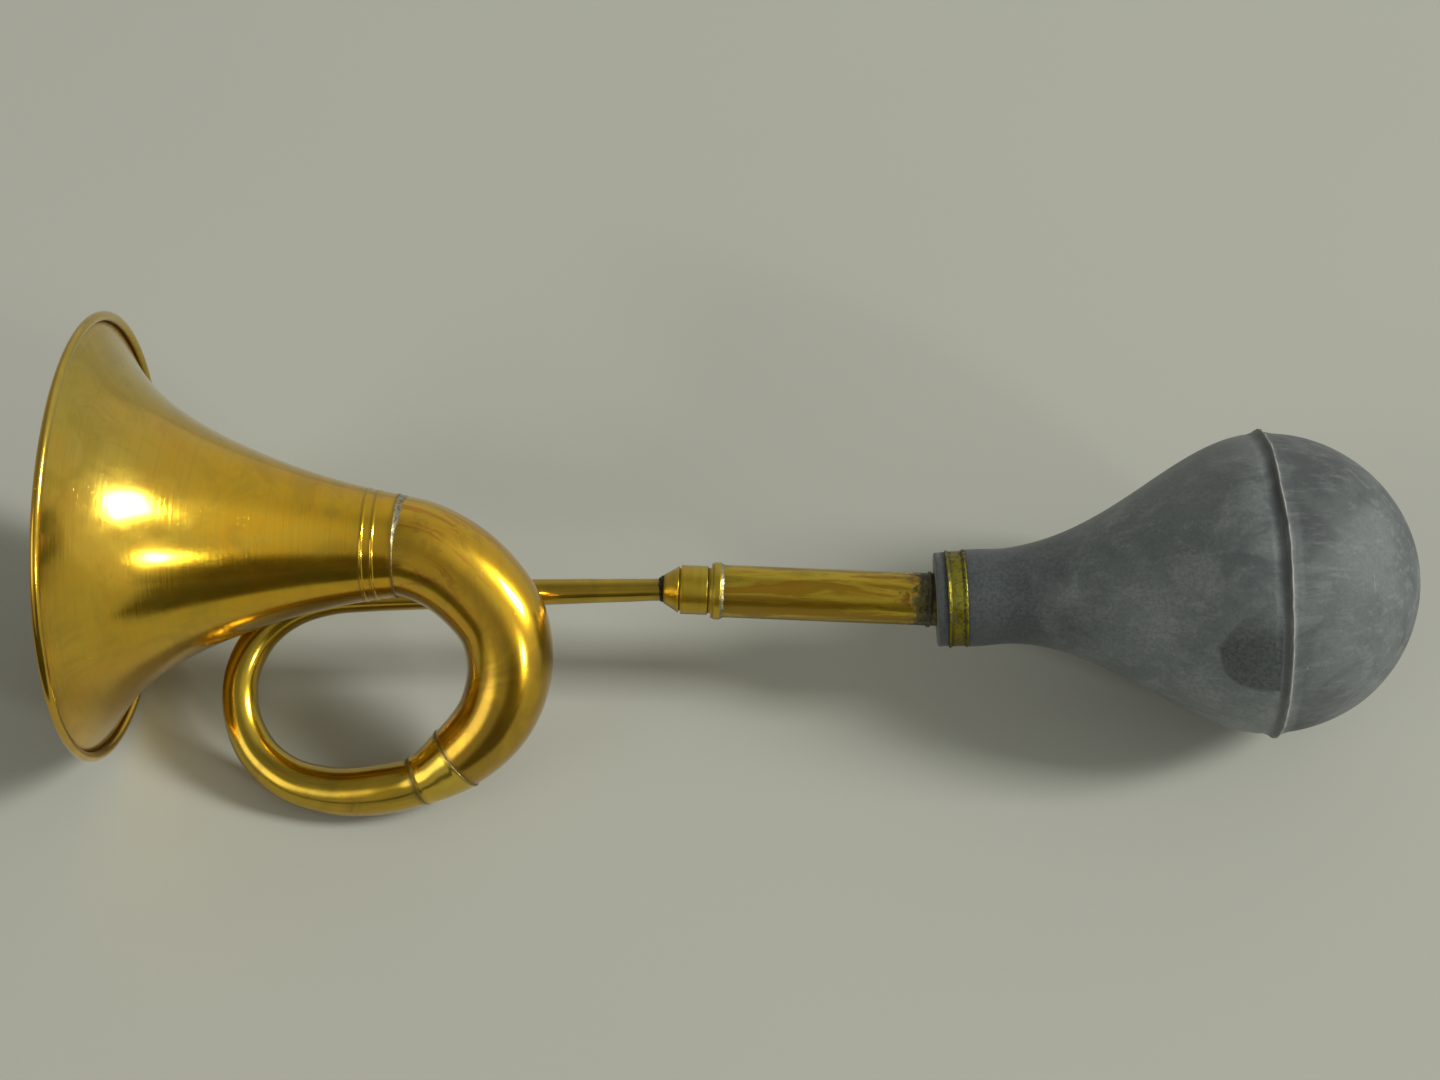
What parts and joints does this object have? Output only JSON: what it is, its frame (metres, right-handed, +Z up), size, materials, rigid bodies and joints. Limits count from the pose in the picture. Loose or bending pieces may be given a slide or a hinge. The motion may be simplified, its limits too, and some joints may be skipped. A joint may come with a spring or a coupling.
{
  "type": "bulb horn",
  "caption": "Coiled brass bulb horn: a flared bell on a looped conical tube, sounded through a reed by a rubber squeeze bulb on a straight tube.",
  "frame": {"origin": "centre of the object's box on the surface it lies on, resting on the bell's rim, the coil and the bulb", "axes": "+X from the bell's mouth towards the bulb, along the object's length; +Z up; the coil's side of the horn is towards -Y"},
  "size_m": [0.3894, 0.1316, 0.1316],
  "materials": {
    "bell_brass": "polished",
    "bend_brass": "polished",
    "coil_brass": "polished, olive toned",
    "turned_brass": "satin",
    "tube_brass": "streaky tarnish",
    "band_brass": "mottled tarnish",
    "reed_brass": "satin",
    "solder": "dull grey solder",
    "rim_steel": "plain wire",
    "packing": "waxed thread",
    "bulb_rubber": "matte with bloom"
  },
  "bodies": {
    "horn": {"bell": "bell_brass", "rim_wire": "rim_steel", "bell_solder": "solder", "large_bend": "bend_brass", "coupling_sleeve": "bend_brass", "sleeve_solder_bend": "solder", "sleeve_solder_coil": "solder", "coil_tube": "coil_brass", "neck_tack_solder": "solder", "bend_tack_solder": "solder", "reed_holder": "turned_brass", "pipe_solder": "solder", "reed_shallot": "reed_brass", "reed_wedge": "reed_brass"},
    "reed": {"reed_tongue": "reed_brass"},
    "packing": {"joint_packing": "packing"},
    "bulb_unit": {"stop_ring": "turned_brass", "ring_solder": "solder", "bulb_tube": "tube_brass", "cuff_ring": "tube_brass", "bulb_front": "bulb_rubber", "clamp_band": "band_brass", "band_rivet": "band_brass"},
    "bulb_rear": {"bulb_rear": "bulb_rubber"}
  },
  "joints": [
    {"name": "bulb_turn", "type": "hinge", "parent": "horn", "child": "packing", "pos_m": [-0.01491, 0.00472, 0.0414], "axis": [0.9996, 0, -0.0281], "continuous": true},
    {"name": "bulb_pull", "type": "slide", "parent": "packing", "child": "bulb_unit", "axis": [0.9996, 0, -0.0281], "range_m": [0, 0.024]},
    {"name": "bulb_squeeze", "type": "slide", "parent": "bulb_unit", "child": "bulb_rear", "axis": [-0.9969, -0.034, -0.0709], "range_m": [0, 0.025], "stiffness_N_per_m": 1000, "deforming": ["bulb_front"]},
    {"name": "reed_flex", "type": "hinge", "parent": "horn", "child": "reed", "pos_m": [0.00412, 0.00615, 0.0421], "axis": [0.0212, -0.6557, 0.7548], "range_deg": [-2.4, 2.5], "stiffness_Nm_per_rad": 0.01}
  ]
}
